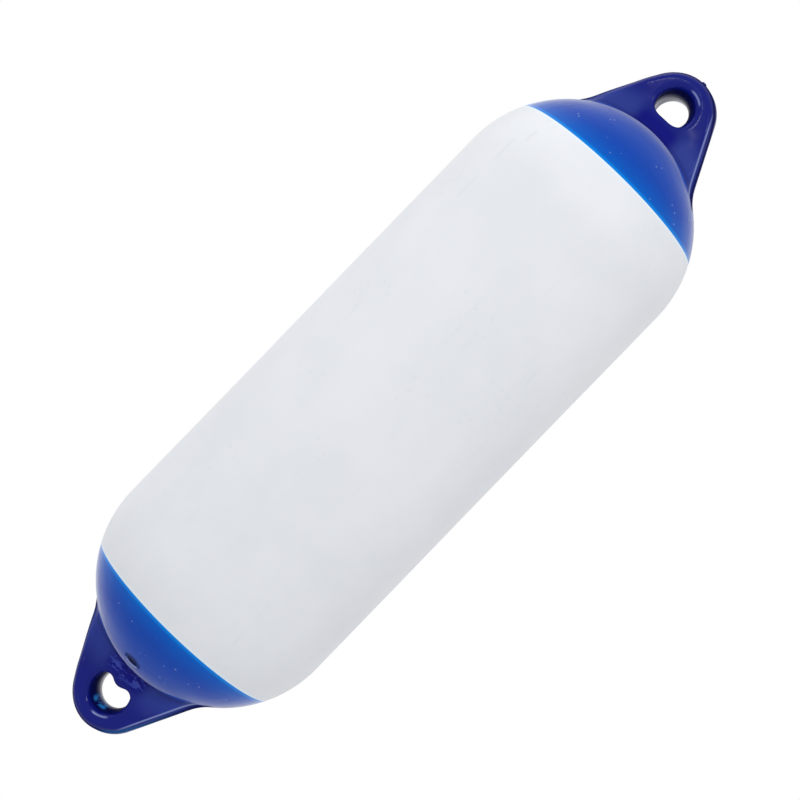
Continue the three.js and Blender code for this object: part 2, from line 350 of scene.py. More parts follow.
def white_vinyl():
    """Inflated white vinyl: satin, faintly mottled, with soft ripples, a fine grain and light scuffs, painted
    shade towards the lower end and a painted pale glow at the weld line.
    """
    scene = bpy.context.scene
    shades = scene.fender_finishes
    weld = scene.fender_body.end_centre + scene.fender_body.shoulder
    glow_width = 0.0022
    finish = Finish(bpy.data.materials.new("white_vinyl"))
    place = finish.place()
    mottle = finish.noise(place, 16.0, detail=4.0, roughness=0.6)
    drift = finish.streaks(place, (30.0, 30.0, 7.0), detail=4.0, roughness=0.6)
    streaks = finish.streaks(place, (230.0, 230.0, 22.0), detail=3.0, roughness=0.55)
    worn = streaks.between(0.58, 0.74) * drift.between(0.46, 0.62)
    rarity = finish.noise(place, 24.0, detail=3.0).between(0.52, 0.60)
    pits = finish.cells(place, 170.0).fades(0.14, 0.30) * rarity
    along = finish.split(place)[2]
    # Painted shade: the body darkens towards its lower end. The rest of this mix is mottle, scuffs and pits.
    painted_shade_low = along.fades(-0.17, 0.02)
    dull_and_shaded = 0.35 * mottle.between(0.35, 0.65) + 0.45 * worn + 0.22 * pits + 0.32 * painted_shade_low
    base = finish.blend(dull_and_shaded, shades.white, shades.white_shade)
    # Painted light: the white turns pale cyan at the weld line.
    lit = abs(along).between(weld - glow_width, weld)
    base = finish.blend(lit, base, shades.white_weld_glow)
    roughness = 0.38 + 0.10 * drift + 0.12 * worn
    ripple = finish.streaks(place, (26.0, 26.0, 14.0), detail=1.0)
    normal = finish.bump(ripple, 0.0009)
    normal = finish.bump(0.6 * worn - pits, 0.00005, normal)
    normal = finish.bump(finish.noise(place, 750.0), 0.00002, normal)
    return finish.done(finish.plastic(base, roughness, normal, ior_level=0.22))


class CapPlace:
    """The place of a point of the blue vinyl, measured from the parts of its cap."""

    def __init__(self, finish, scene):
        end_centre = scene.fender_body.end_centre
        self.place = finish.place()
        self.across, self.through, self.up = finish.split(self.place)
        self.side = abs(self.across)
        self.above = abs(self.up) - end_centre
        self.past_weld = abs(self.up) - (end_centre + scene.fender_body.shoulder)
        self.off_y = hypotenuse(self.side, self.above)
        self.off_eye = self.above - scene.fender_eye.height
        self.from_eye = hypotenuse(self.across, self.off_eye)
        self.in_front = self.through.fades(-0.002, 0.002)
        self.at_lower = self.up.fades(-0.01, 0.01)
        # Where the painted reflection at the root of the flanks goes. The roughness is higher there too.
        self.by_flank = self.side.between(0.008, 0.020) * self.off_y.fades(0.078, 0.094)
        # Where the painted shade of the hollow goes, and the painted glints over the lower eye.
        self.hollow = self.side.fades(0.010, 0.016) * self.off_y.fades(0.079, 0.084)


def fillet_centre(scene):
    """Centre of a flank's fillet, across and along the flank, from the centre of the round end."""
    eye = scene.fender_eye
    across = eye.height * math.sin(eye.flank) + eye.tip + eye.flank_fillet
    return across, math.sqrt((scene.fender_body.radius + eye.flank_fillet) ** 2 - across**2)


def flank_highlight(at, scene):
    """1 along the painted highlight on the edge of the +X flank, in front."""
    edge = (0.0023, 0.0028, 0.0031, 0.0037)
    eye = scene.fender_eye
    cos = math.cos(eye.flank)
    sin = math.sin(eye.flank)
    fillet_across, fillet_along = fillet_centre(scene)
    to_flank = at.side * cos + at.above * sin
    along_flank = (at.above * cos - at.side * sin).highest(0.0)
    below = (fillet_along - along_flank).highest(0.0)
    inside = hypotenuse(fillet_across - to_flank, below) - eye.flank_fillet
    return inside.band(*edge) * at.across.between(0.014, 0.024) * at.in_front


def eye_mouth_highlight(at):
    """1 on the painted highlight of an eye's mouth, on the side towards the tip."""
    mouth = (0.0129, 0.0135, 0.0139, 0.0146)
    facing = (0.36 * at.across + 0.93 * at.off_eye) / at.from_eye
    return at.from_eye.band(*mouth) * facing.between(0.90, 0.975)


def dome_colour(finish, at, shades, lit_near_weld, speck):
    """Blue with painted light that lightens it towards the weld line, brightest right at the weld line, with
    specks of dust.
    """
    skin = finish.blend(lit_near_weld, shades.blue, shades.blue_lit_near_weld)
    # Painted light: the brightest blue right at the weld line.
    skin = finish.blend(at.past_weld.fades(0.0, 0.0028), skin, shades.blue_lit_at_weld)
    return finish.blend(0.6 * speck, skin, shades.dust)


def lug_colour(finish, at, scene, mouth_highlight):
    """Dark blue, with a painted reflection at the root of the flanks, painted shade in the hollow and along
    the root, painted glints on the wrinkles over the lower eye, and painted highlights on the flank's edge
    and the eye's mouth.
    """
    shades = scene.fender_finishes
    # Painted reflection: lighter blue at the root of the flanks.
    solid = finish.blend(at.by_flank, shades.blue_solid, shades.blue_flank_reflection)
    # Painted shade in the hollow under the eye.
    solid = finish.blend(at.hollow, solid, shades.blue_hollow_shade)
    # Painted highlight: glints on the lit sides of the wrinkles over the lower eye.
    creases = finish.streaks(at.place, (150.0, 300.0, 560.0), detail=4.0, roughness=0.65)
    wrinkle_glint = at.hollow * at.at_lower * creases.between(0.53, 0.58)
    solid = finish.blend(0.75 * wrinkle_glint, solid, shades.blue_wrinkle_glint)
    # Painted shade: a dark line along the root where the lug meets the round end.
    root = at.off_y.fades(0.0738, 0.0762)
    solid = finish.blend(0.35 * root, solid, shades.blue_rim_shade)
    # Painted highlight: a light line along the flank's edge and on the eye's mouth.
    line = flank_highlight(at, scene).highest(mouth_highlight * at.in_front)
    return finish.blend(0.60 * line, solid, shades.blue_highlight)


def wall_colour(finish, at, shades, mouth_highlight):
    """Painted shade, near black, with painted light through the lower eye's wall and on its underside, and
    the painted highlight of its mouth.
    """
    # Painted light: a lighter patch on the lower eye's wall.
    patch = finish.noise(at.place, 260.0).between(0.40, 0.52) * abs(at.across + 0.001).fades(0.0035, 0.006)
    patch = patch * at.at_lower * at.off_eye.between(0.004, 0.007) * at.from_eye.fades(0.0134, 0.0144)
    patch = patch * at.through.band(-0.0115, -0.009, 0.0, 0.003)
    # Painted shade on the wall, with painted light where the patch is.
    wall = finish.blend(patch, shades.blue_rim_shade, shades.blue_lit)
    # Painted highlight on the eye's mouth.
    wall = finish.blend(0.5 * mouth_highlight, wall, shades.blue_highlight)
    # Painted light: the lower lug's underside made lighter.
    underside = at.at_lower * at.across.band(0.008, 0.016, 0.022, 0.040) * at.from_eye.between(0.016, 0.018)
    return finish.blend(0.25 * underside, wall, shades.blue_lit)


def blue_vinyl():
    """Moulded blue vinyl: glossy, with painted light near the weld line for light that comes through, dark in
    the solid lug.
    """
    scene = bpy.context.scene
    shades = scene.fender_finishes
    finish = Finish(bpy.data.materials.new("blue_vinyl"))
    at = CapPlace(finish, scene)
    cap_height = scene.fender_body.radius - scene.fender_body.shoulder
    drift = finish.noise(at.place, 45.0, detail=3.0)
    # Painted light: the share of lighter blue near the weld line.
    lit_near_weld = (at.past_weld + 0.006 * (drift - 0.5)).fades(-0.010, 0.38 * cap_height)
    rarity = finish.noise(at.place, 90.0).between(0.53, 0.60)
    speck = rarity * finish.cells(at.place, 190.0).fades(0.080, 0.130)
    parting = abs(at.through).fades(0.0002, 0.0007) * at.past_weld.between(0.6 * cap_height, 0.8 * cap_height)
    normal = finish.bump(finish.noise(at.place, 70.0), 0.00025)
    normal = finish.bump(finish.noise(at.place, 420.0), 0.00001, normal)
    normal = finish.bump(parting, 0.00012, normal)
    mouth_highlight = eye_mouth_highlight(at)
    skin = dome_colour(finish, at, shades, lit_near_weld, speck)
    dome = finish.plastic(skin, 0.30 + 0.10 * drift + 0.25 * speck, normal, ior_level=0.04, sheen=0.85)
    dulled = at.side.fades(0.014, 0.026) * at.off_y.fades(0.084, 0.092) * (0.45 - 0.30 * at.at_lower)
    roughness = 0.12 + 0.06 * drift + dulled.highest(0.25 * at.by_flank)
    moulding = finish.plastic(lug_colour(finish, at, scene, mouth_highlight), roughness, normal, ior_level=0.11)
    wall = wall_colour(finish, at, shades, mouth_highlight)
    matte = finish.plastic(wall, 0.6 + 0.2 * drift, normal, ior_level=0.01)
    flat = abs(at.through) - 0.0025 * at.side.between(0.012, 0.032) * at.off_y.fades(0.080, 0.096)
    rim = flat.fades(0.0122, 0.0150) * at.through.fades(-0.008, 0.004)
    lug = at.off_y.between(0.0718, 0.0736) * (at.side / at.above).fades(0.80, 0.92)
    return finish.done(finish.mix(lug, dome, finish.mix(rim, moulding, matte)))


def flange_highlight(finish, place):
    """1 where the painted highlight goes on the edge of the valve's flange that faces the lug, 0 inside it.
    """
    scene = bpy.context.scene
    seat = valve_place(scene)
    radius = scene.fender_valve.flange
    off = finish.vector("SUBTRACT", place, seat.translation)
    off_axis = finish.vector("CROSS_PRODUCT", off, seat.col[2].xyz)
    spread = finish.vector("LENGTH", off_axis, output=1)
    high = finish.split(off)[2]
    return spread.between(radius - 0.0022, radius - 0.0012) * high.fades(-0.0024, -0.0002)


def small_part(name, shade, roughness, grain_height, edge=None):
    """Plain moulded plastic or rubber with a fine grain, for the valve's pieces."""
    finish = Finish(bpy.data.materials.new(name))
    place = finish.place()
    wear = finish.noise(place, 700.0, detail=3.0)
    worn_shade = [0.6 * part + 0.01 for part in shade]
    base = finish.blend(0.5 * wear.between(0.45, 0.75), shade, worn_shade)
    # Painted highlight on the flange's edge, where one is given.
    if edge:
        base = finish.blend(0.8 * flange_highlight(finish, place), base, edge)
    normal = finish.bump(finish.noise(place, 2600.0), grain_height)
    return finish.done(finish.plastic(base, roughness + 0.12 * wear, normal, ior_level=0.35))


# Mesh building


def new_object(name, data):
    """A new object in the scene."""
    item = bpy.data.objects.new(name, data)
    bpy.context.collection.objects.link(item)
    return item


def add_piece(name, mesh, material, slot, *replaced, sharp):
    """Puts a mesh into the scene as one piece of the fender, smooth but for edges over an angle."""
    mesh.polygons.foreach_set("use_smooth", [True] * len(mesh.polygons))
    mesh.set_sharp_from_angle(angle=math.radians(sharp))
    piece = new_object(name, mesh)
    mesh.materials.clear()
    mesh.materials.append(material)
    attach(piece, BODY)
    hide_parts(*replaced)


def arc(centre, radius, start, end, steps):
    """Points along an arc in the plane of radius and height, both ends included."""
    angles = np.linspace(start, end, steps + 1)
    return [(centre[0] + radius * math.cos(a), centre[1] + radius * math.sin(a)) for a in angles]


def turned(name, profile, segments):
    """A closed profile of (radius, height) points turned about Z. Points on the axis are shared."""
    vertices = []
    rings = []
    angles = np.linspace(0, 2 * math.pi, segments, endpoint=False)
    for radius, height in profile:
        if radius < ON_AXIS:
            rings.append([len(vertices)] * segments)
            vertices.append((0.0, 0.0, height))
            continue
        rings.append(list(range(len(vertices), len(vertices) + segments)))
        vertices += [(radius * math.cos(a), radius * math.sin(a), height) for a in angles]
    faces = []
    closed = profile[0][0] > ON_AXIS
    pairs = list(zip(rings, rings[1:])) + ([(rings[-1], rings[0])] if closed else [])
    for low, high in pairs:
        for i in range(segments):
            j = (i + 1) % segments
            corners = [low[i], low[j], high[j], high[i]]
            face = [corner for n, corner in enumerate(corners) if corner not in corners[:n]]
            if len(face) > 2:
                faces.append(face)
    mesh = bpy.data.meshes.new(name)
    mesh.from_pydata(vertices, [], faces)
    return mesh


def cut(mesh, cutter_mesh):
    """The mesh less the cutter, as a new mesh without doubled points."""
    same_place = 2 * MICRON
    too_short = MICRON
    target = new_object("target", mesh)
    cutter = new_object("cutter", cutter_mesh)
    modifier = target.modifiers.new("cut", "BOOLEAN")
    modifier.operation = "DIFFERENCE"
    modifier.solver = "EXACT"
    modifier.object = cutter
    bpy.context.view_layer.update()
    depsgraph = bpy.context.evaluated_depsgraph_get()
    result = bpy.data.meshes.new_from_object(target.evaluated_get(depsgraph))
    for item in (target, cutter):
        bpy.data.objects.remove(item)
    result.name = mesh.name
    work = bmesh.new()
    work.from_mesh(result)
    bmesh.ops.remove_doubles(work, verts=work.verts[:], dist=same_place)
    bmesh.ops.dissolve_degenerate(work, edges=work.edges[:], dist=too_short)
    work.to_mesh(result)
    work.free()
    return result


# White body


def uneven(points):
    """Soft unevenness of the inflated skin, from 0 to 1, at points around and along the body."""
    around = np.arctan2(points[:, 1], points[:, 0])
    along = points[:, 2]
    waves = (
        np.sin(3 * around + 21 * along + 0.6)
        + np.sin(5 * around - 34 * along + 2.1)
        + 0.7 * np.sin(2 * around + 58 * along + 4.0)
        + 0.6 * np.sin(8 * around + 27 * along + 1.2)
        + 0.5 * np.sin(11 * around - 71 * along + 5.3)
    )
    return 0.5 + 0.5 * waves / 3.8


class FENDER_OT_body_skin(bpy.types.Operator):
    """Build the inflated white body"""

    bl_idname = "fender.body_skin"
    bl_label = "White Body"

    def execute(self, context):
        body = context.scene.fender_body
        seam = body.shoulder - body.weld
        rim = math.asin(seam / body.radius)
        inner = body.radius - body.skin
        lip = body.lip / body.radius
        shoulder = arc((0, body.end_centre), body.radius, 0, rim - lip, steps=28)
        edge_radius = math.sqrt(body.radius**2 - seam**2) - body.lip
        shoulder.append((edge_radius + 0.7 * body.lip, body.end_centre + seam - 0.3 * body.lip))
        shoulder.append((edge_radius, body.end_centre + seam))
        inside = arc((0, body.end_centre), inner, math.asin(seam / inner), 0, steps=8)
        rows = 97
        straight = np.linspace(-body.end_centre, body.end_centre, rows)[1:-1]
        outer = [(radius, -height) for radius, height in reversed(shoulder)]
        outer += [(body.radius, height) for height in straight]
        outer += shoulder
        profile = outer + inside + [(radius, -height) for radius, height in reversed(inside)]
        mesh = turned("body_skin", profile, segments=256)
        points = np.array([vertex.co for vertex in mesh.vertices])
        spread = np.hypot(points[:, 0], points[:, 1])
        reach = np.abs(points[:, 2])
        still = body.end_centre + 0.8 * body.shoulder
        outside = (spread > 0.5 * (body.radius + inner)) & (reach < still)
        fade = np.clip((still - reach) / (2 * body.shoulder), 0, 1)
        depth = body.ripple * uneven(points) * fade * outside
        points[:, :2] *= (1 - depth / np.maximum(spread, MM))[:, None]
        mesh.vertices.foreach_set("co", points.ravel())
        mesh.update()
        add_piece("body_skin", mesh, white_vinyl(), "white_vinyl", "body_shell", sharp=40)
        return {"FINISHED"}


# Blue caps, drawn with the centre of the round end at the origin and the lug towards +Z


def round_join(a, b, radius):
    """Union of two fields with a fillet."""
    fillet = np.hypot(np.maximum(radius - a, 0), np.maximum(radius - b, 0))
    return np.maximum(radius, np.minimum(a, b)) - fillet


def round_cut(a, b, radius):
    """Intersection of two fields with a rounded edge."""
    edge = np.hypot(np.maximum(radius + a, 0), np.maximum(radius + b, 0))
    return np.minimum(-radius, np.maximum(a, b)) + edge


def smooth_step(share):
    """0 below 0, 1 above 1, smooth between them."""
    share = np.clip(share, 0, 1)
    return share * share * (3 - 2 * share)


class CapForm:
    """The form of a blue cap as a field: negative in the vinyl, positive outside it, in metres."""

    # Where the finer forms begin, how far they fade out, and the smallest roundings
    WEB_TOP = 0.004
    WEB_FADE = 0.026
    WEB_INNER = 0.010
    WEB_SPREAD = 0.024
    HOLLOW_HALF_WIDTH = 0.022
    HOLLOW_SIDE_FADE = 0.014
    HOLLOW_TOP = 0.006
    HOLLOW_TOP_FADE = 0.010
    PARTING_ROUND = 0.0005
    BEVEL_FADE = 0.035
    FILLET_INNER = 0.012
    FILLET_SPREAD = 0.030
    BULGE_WIDTH = 0.0062
    TIP_EDGE = 0.0004
    GATE_FILLET = 0.0006
    BOSS_FILLET = 0.001
    BOSS_EDGE = 0.0008

    def __init__(self, scene, lower):
        self.body = scene.fender_body
        self.eye = scene.fender_eye
        self.valve = scene.fender_valve
        self.lower = lower
        eye = self.eye
        self.cos = math.cos(eye.flank)
        self.sin = math.sin(eye.flank)
        self.across, self.along = fillet_centre(scene)
        self.foot = np.array([self.across, self.along]) / (self.body.radius + eye.flank_fillet)

    def outline(self, x, z, distance):
        """The lug's outline: round tip, straight flanks and a fillet onto the round end.

        Also gives how far the outline faces away from the centre of the round end.
        """
        eye = self.eye
        side = np.abs(x)
        above = z - eye.height
        normal = side * self.cos + z * self.sin
        off = np.sqrt(np.maximum(distance**2 - normal**2, 0))
        flank = normal - (self.across - eye.flank_fillet)
        flank_faces = normal / distance
        to_fillet = np.hypot(normal - self.across, off - self.along)
        fillet = eye.flank_fillet - to_fillet
        fillet_faces = ((self.across - normal) * normal + (self.along - off) * off) / (to_fillet * distance)
        sunk_radius = 0.5 * self.body.radius
        sunk_centre = self.foot * (self.body.radius - sunk_radius)
        sunk_across = normal - sunk_centre[0]
        sunk_along = off - sunk_centre[1]
        to_sunk = np.hypot(sunk_across, sunk_along)
        sunk_faces = (sunk_across * normal + sunk_along * off) / (to_sunk * distance)
        past_fillet = normal * self.along > off * self.across
        on_flank = off > self.along
        edge = np.where(past_fillet, to_sunk - sunk_radius, np.where(on_flank, flank, fillet))
        faces = np.where(past_fillet, sunk_faces, np.where(on_flank, flank_faces, fillet_faces))
        on_tip = above * self.cos > side * self.sin
        edge = np.where(on_tip, np.hypot(side, above) - eye.tip, edge)
        return edge, faces

    def eye_hole(self, x, y, z):
        """The eye, negative in the hole: round with a flat side, and narrower at its middle."""
        eye = self.eye
        radius = eye.lower_hole if self.lower else eye.upper_hole
        throat = eye.lower_throat if self.lower else eye.upper_throat
        middle = np.clip(1 - (y / eye.half_thickness) ** 2, 0, 1)
        side = x - middle * throat[0]
        above = z - eye.height - middle * throat[1]
        bulge = eye.lower_bulge if self.lower else eye.upper_bulge
        bulge = bulge * np.exp(-((side / self.BULGE_WIDTH) ** 2))
        section = round_cut(np.hypot(side, above) - radius, bulge - above - eye.hole_flat, eye.hole_corner)
        return section + middle * eye.hole_draft

    def lug(self, x, y, z, edge):
        """The lug: a slab of the outline's form with a bevelled rim, thicker at the root of its flanks."""
        eye = self.eye
        root_share = smooth_step((eye.height + self.WEB_TOP - z) / self.WEB_FADE)
        flank_share = smooth_step((np.abs(x) - self.WEB_INNER) / self.WEB_SPREAD)
        under_eye = smooth_step((self.HOLLOW_HALF_WIDTH - np.abs(x)) / self.HOLLOW_SIDE_FADE)
        under_eye = under_eye * smooth_step((eye.height - self.HOLLOW_TOP - z) / self.HOLLOW_TOP_FADE)
        hollow = under_eye * (eye.hollow + (eye.lower_lumps * self.lumps(x, z) if self.lower else 0))
        slab = np.abs(y) - eye.half_thickness - root_share * flank_share * eye.web + hollow
        depth = np.sqrt(y * y + self.PARTING_ROUND**2)
        tip_share = smooth_step((z - eye.height) / (0.8 * eye.tip))
        side = edge + (eye.draft + (eye.tip_draft - eye.draft) * tip_share) * depth / eye.half_thickness
        width = eye.bevel + (eye.root_bevel - eye.bevel) * smooth_step((eye.height - z) / self.BEVEL_FADE)
        bevel = side * eye.bevel_depth + slab * width + width * eye.bevel_depth
        bevel = bevel / np.hypot(width, eye.bevel_depth)
        form = round_cut(round_cut(side, slab, eye.edge), bevel, eye.edge)
        return form, side, slab

    def lumps(self, x, z):
        """Uneven wrinkles of the hollow, from -1.6 to 1.6."""
        wide = np.sin(1150 * x + 2.1 * np.sin(700 * z)) * np.sin(1300 * z + 500 * x)
        return wide + 0.6 * np.sin(1700 * x - 900 * z)

    def solid(self, x, y, z):
        """Round end and lug, with the eye."""
        eye = self.eye
        distance = np.sqrt(x * x + y * y + z * z) + TINY
        ball = distance - self.body.radius
        edge, faces = self.outline(x, z, distance)
        lug, side, slab = self.lug(x, y, z, edge)
        by_edge = np.maximum(side + eye.root_bevel, 0)
        by_slab = np.maximum(slab + eye.root_bevel, 0)
        alike = (by_edge * faces + by_slab * np.abs(y) / distance) / (np.hypot(by_edge, by_slab) + TINY)
        half_angle = np.sqrt(0.5 + 0.5 * np.clip(alike, -0.9, 1))
        aside = smooth_step((np.abs(x) - self.FILLET_INNER) / self.FILLET_SPREAD)
        root = eye.root + (eye.flank_root - eye.root) * aside
        fillet = root * (1 / half_angle - 1) / (math.sqrt(2) - 1)
        form = round_join(ball, lug, np.maximum(fillet, MICRON))
        form = round_cut(form, -self.eye_hole(x, y, z), eye.mouth)
        tip = eye.height + eye.tip
        if self.lower:
            return round_cut(form, z - (tip - eye.lower_trim), self.TIP_EDGE)
        ends = np.maximum(z - tip - eye.upper_gate_height, tip - 2 * eye.edge - z)
        gate = round_cut(np.hypot(x, y) - eye.upper_gate, ends, self.TIP_EDGE)
        return round_join(form, gate, self.GATE_FILLET)

    def chamber(self, distance, z):
        """The air space: the skin thickens towards the crown."""
        body = self.body
        inner = body.radius - body.skin
        rim = math.asin(body.shoulder / inner)
        share = np.clip((np.arcsin(np.clip(z / distance, -1, 1)) - rim) / (math.pi / 2 - rim), 0, 1)
        wall = body.skin + (self.eye.crown_wall - body.skin) * share**2
        return distance - (body.radius - wall)

    def __call__(self, points):
        x, y, z = points
        distance = np.sqrt(x * x + y * y + z * z) + TINY
        form = np.maximum(self.solid(x, y, z), -self.chamber(distance, z))
        if self.lower:
            form = round_join(form, self.boss(x, y, z), self.BOSS_FILLET)
        return form

    def boss(self, x, y, z):
        """The vinyl round the valve's stem, inside the chamber."""
        valve = self.valve
        rise = z * math.cos(valve.tilt) - y * math.sin(valve.tilt)
        off_y = y * math.cos(valve.tilt) + z * math.sin(valve.tilt)
        low = self.body.radius - valve.boss_depth
        high = self.body.radius - self.body.skin
        return round_cut(np.hypot(x, off_y) - valve.boss, np.maximum(rise - high, low - rise), self.BOSS_EDGE)


def net(field, low, step):
    """Quads round the zero level of a field given on a grid."""
    inside = field < 0
    corners = np.zeros(np.array(field.shape) - 1, dtype=int)
    for starts in itertools.product((0, 1), repeat=3):
        corners += inside[tuple(slice(start, start + size) for start, size in zip(starts, corners.shape))]
    mixed = (corners > 0) & (corners < 8)
    cells = np.argwhere(mixed)
    number = np.full(corners.shape, -1)
    number[mixed] = np.arange(len(cells))
    total = np.zeros((len(cells), 3))
    count = np.zeros(len(cells))
    for axis in range(3):
        along = np.eye(3, dtype=int)[axis]
        for shift in ((0, 0), (0, 1), (1, 0), (1, 1)):
            start = cells + np.insert(shift, axis, 0)
            near = field[tuple(start.T)]
            far = field[tuple((start + along).T)]
            crossed = (near < 0) != (far < 0)
            part = near[crossed] / (near[crossed] - far[crossed])
            total[crossed] += start[crossed] + part[:, None] * along
            count[crossed] += 1
    faces = []
    for axis in range(3):
        others = [(axis + 1) % 3, (axis + 2) % 3]
        second, third = np.eye(3, dtype=int)[others]
        near = inside.take(range(field.shape[axis] - 1), axis)
        far = inside.take(range(1, field.shape[axis]), axis)
        edges = np.argwhere(near != far)
        beside = edges[:, others]
        fits = (beside > 0) & (beside < np.array(field.shape)[others] - 1)
        edges = edges[fits.all(axis=1)]
        ring = [edges - second - third, edges - third, edges, edges - second]
        quads = np.stack([number[tuple(cell.T)] for cell in ring], axis=1)
        outward = near[tuple(edges.T)]
        faces.append(np.where(outward[:, None], quads, quads[:, ::-1]))
    return low + step * total / count[:, None], np.concatenate(faces)


def settle(points, form, rounds=4):
    """Moves points onto the zero level of a form, by its slope there."""
    reach = 0.00002
    least_slope = 0.05
    longest_move = 0.0005
    for _ in range(rounds):
        value = form(points.T)
        slope = np.empty_like(points)
        for axis in range(3):
            nudge = reach * np.eye(3)[axis]
            slope[:, axis] = (form((points + nudge).T) - form((points - nudge).T)) / (2 * reach)
        steep = np.maximum((slope**2).sum(axis=1), least_slope)
        move = -slope * (value / steep)[:, None]
        points = points + np.clip(move, -longest_move, longest_move)
    return points


def cap_mesh(name, form, seam):
    """The surface of a blue cap, cut flat at the weld line."""
    step = form.eye.grid
    half = form.body.radius + 2 * step
    top = form.eye.height + form.eye.tip + form.eye.upper_gate_height + 2 * step
    low = np.array([-half, -half, seam - 3 * step])
    size = np.ceil((np.array([half, half, top]) - low) / step).astype(int)
    grid = [low[axis] + step * np.arange(size[axis]) for axis in range(3)]
    points = np.stack(np.meshgrid(*grid, indexing="ij"))
    vertices, faces = net(form(points), low, step)
    vertices = settle(vertices, form)
    mesh = bpy.data.meshes.new(name)
    mesh.from_pydata(vertices.tolist(), [], faces.tolist())
    work = bmesh.new()
    work.from_mesh(mesh)
    everything = work.verts[:] + work.edges[:] + work.faces[:]
    plane = {"plane_co": (0, 0, seam), "plane_no": (0, 0, -1)}
    bmesh.ops.bisect_plane(work, geom=everything, **plane, dist=MICRON, clear_outer=True)
    rims = [edge for edge in work.edges if edge.is_boundary]
    bmesh.ops.bridge_loops(work, edges=rims)
    pinched = [edge for edge in work.edges if len(edge.link_faces) > 2]
    bmesh.ops.collapse(work, edges=pinched)
    bmesh.ops.recalc_face_normals(work, faces=work.faces[:])
    work.to_mesh(mesh)
    work.free()
    return mesh


def valve_place(scene):
    """From the valve's own axes to the fender's."""
    body = scene.fender_body
    valve = scene.fender_valve
    outward = Vector((0, -math.sin(valve.tilt), math.cos(valve.tilt)))
    on_cap = Matrix.Translation(outward * body.radius) @ Matrix.Rotation(valve.tilt, 4, "X")
    return lower_place(scene) @ on_cap


def lower_place(scene):
    """From a cap's own axes to the fender's, at the lower end."""
    return Matrix.Translation((0, 0, -scene.fender_body.end_centre)) @ Matrix.Rotation(math.pi, 4, "Y")


class FENDER_OT_eye_caps(bpy.types.Operator):
    """Build the two blue moulded ends with their eyes"""

    bl_idname = "fender.eye_caps"
    bl_label = "Blue Eye Caps"

    def execute(self, context):
        scene = context.scene
        body = scene.fender_body
        valve = scene.fender_valve
        material = blue_vinyl()
        upper = cap_mesh("upper_eye_cap", CapForm(scene, lower=False), body.shoulder)
        upper.transform(Matrix.Translation((0, 0, body.end_centre)))
        add_piece("upper_eye_cap", upper, material, "blue_vinyl", "upper_eye_end", sharp=50)
        lower = cap_mesh("lower_eye_cap", CapForm(scene, lower=True), body.shoulder)
        lower.transform(lower_place(scene))
        stem = valve.stem + valve.fit
        flange = valve.flange + valve.fit
        seat = -valve.flange_thickness - valve.fit
        below = -valve.boss_depth - body.skin
        profile = [(0, below), (stem, below), (stem, seat), (flange, seat)]
        profile += [(flange, body.skin), (0, body.skin)]
        cutter = turned("valve_seat", profile, segments=96)
        cutter.transform(valve_place(scene))
        lower = cut(lower, cutter)
        add_piece("lower_eye_cap", lower, material, "blue_vinyl", "lower_eye_end", sharp=50)
        return {"FINISHED"}


# Valve, drawn with its axis along Z and the fender's outer surface at z = 0


class FENDER_OT_valve(bpy.types.Operator):
    """Build the valve insert, its sealing ring and its slotted screw"""

    bl_idname = "fender.valve"
    bl_label = "Inflation Valve"

    def execute(self, context):
        scene = context.scene
        valve = scene.fender_valve
        shades = scene.fender_finishes
        place = valve_place(scene)
        plastic = small_part("valve_plastic", shades.valve, 0.34, 0.01 * MM, shades.valve_highlight)
        dark = small_part("screw_plastic", shades.screw, 0.30, 0.01 * MM)
        rubber = small_part("gasket_rubber", shades.rubber, 0.62, 0.02 * MM)
        bevel = 0.3 * MM
        low_bevel = 0.4 * bevel
        burr = 0.1 * MM
        pocket = valve.head + valve.fit
        floor = -valve.head_thickness - valve.ring - 2 * valve.fit
        bore = valve.shank + valve.fit
        insert = [(bore, -valve.stem_length), (valve.stem - bevel, -valve.stem_length)]
        insert += [(valve.stem, bevel - valve.stem_length), (valve.stem, -valve.flange_thickness)]
        insert += [(valve.flange - low_bevel, -valve.flange_thickness)]
        insert += [(valve.flange, low_bevel - valve.flange_thickness)]
        insert += arc((valve.flange - bevel, -bevel), bevel, 0, math.pi / 2, 4)
        insert += arc((pocket + bevel, -bevel), bevel, math.pi / 2, math.pi, 4)
        insert += [(pocket, floor), (bore, floor)]
        mesh = turned("valve_insert", insert, segments=72)
        mesh.transform(place)
        add_piece("valve_insert", mesh, plastic, "valve_plastic", "valve_body", sharp=35)
        middle = floor + valve.fit + valve.ring / 2
        half = valve.ring / 2
        ring = arc((valve.head - half, middle), half, -math.pi / 2, math.pi / 2, 8)
        ring += arc((bore + half, middle), half, math.pi / 2, 1.5 * math.pi, 8)
        mesh = turned("valve_ring", ring, segments=64)
        mesh.transform(place)
        add_piece("valve_ring", mesh, rubber, "gasket_rubber", "valve_gasket", sharp=60)
        under = -valve.head_thickness
        end = under - valve.shank_length
        screw = [(0, end), (valve.shank - bevel, end), (valve.shank, end + bevel), (valve.shank, under)]
        screw += [(valve.head - burr, under), (valve.head, under + burr)]
        screw += arc((valve.head - bevel, -bevel), bevel, 0, math.pi / 2, 4)
        screw += [(0, 0)]
        slot_box = bpy.data.meshes.new("slot")
        work = bmesh.new()
        bmesh.ops.create_cube(work, size=1)
        bmesh.ops.scale(work, vec=(2.4 * valve.head, valve.slot, 2 * valve.slot_depth), verts=work.verts[:])
        work.to_mesh(slot_box)
        work.free()
        mesh = cut(turned("valve_plug", screw, segments=64), slot_box)
        mesh.transform(place)
        add_piece("valve_plug", mesh, dark, "valve_plastic", "valve_screw", sharp=35)
        return {"FINISHED"}


# Stage


def aim(item, eye, target, up):
    """Places a lamp or the camera at a point, looking at another."""
    back = (eye - target).normalized()
    right = up.cross(back).normalized()
    turn = Matrix((right, back.cross(right), back)).transposed()
    item.matrix_world = Matrix.Translation(eye) @ turn.to_4x4()


